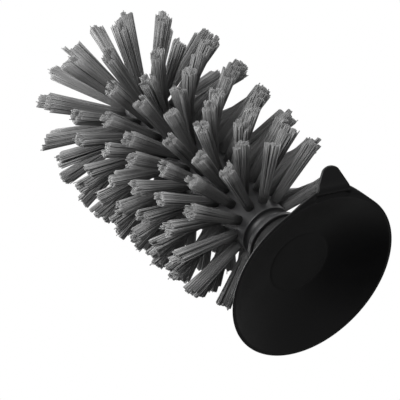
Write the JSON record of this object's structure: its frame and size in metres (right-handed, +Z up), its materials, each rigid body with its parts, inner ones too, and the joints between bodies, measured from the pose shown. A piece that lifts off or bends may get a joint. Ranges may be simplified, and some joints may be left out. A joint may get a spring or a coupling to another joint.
{
  "type": "suction cup sink brush",
  "caption": "Free-standing glass and bottle brush: radial bristle tufts on a round-ended core, snapped into a rubber suction cup with a pull tab.",
  "frame": {"origin": "centre of the suction cup's lip, in the plane that it stands on", "axes": "+Z up along the brush's axis, towards the round end; +X towards the pull tab"},
  "size_m": [0.0985, 0.0947, 0.1797],
  "materials": {
    "rubber": "soft black rubber, matt with a faint sheen",
    "core": "black moulded plastic",
    "bristle": "dark-grey nylon filaments with pale cut ends"
  },
  "bodies": {
    "base": {"suction_cup": "rubber"},
    "tab": {"pull_tab": "rubber"},
    "head": {"core_stem": "core", "bristle_ring_01": "bristle", "bristle_ring_02": "bristle", "bristle_ring_03": "bristle", "bristle_ring_04": "bristle", "bristle_ring_05": "bristle", "bristle_ring_06": "bristle", "bristle_ring_07": "bristle", "bristle_ring_08": "bristle", "bristle_ring_09": "bristle", "bristle_ring_10": "bristle", "bristle_ring_11": "bristle", "crown_ring": "bristle", "crown_cap": "bristle"}
  },
  "joints": [
    {"name": "head_turn", "type": "hinge", "parent": "base", "child": "head", "pos_m": [0, 0, 0.0175], "axis": [0, 0, 1], "continuous": true},
    {"name": "tab_bend", "type": "hinge", "parent": "base", "child": "tab", "pos_m": [0.0424, 0, 0.0012], "axis": [0, -1, 0], "range_deg": [-29, 55], "stiffness_Nm_per_rad": 0.01}
  ]
}
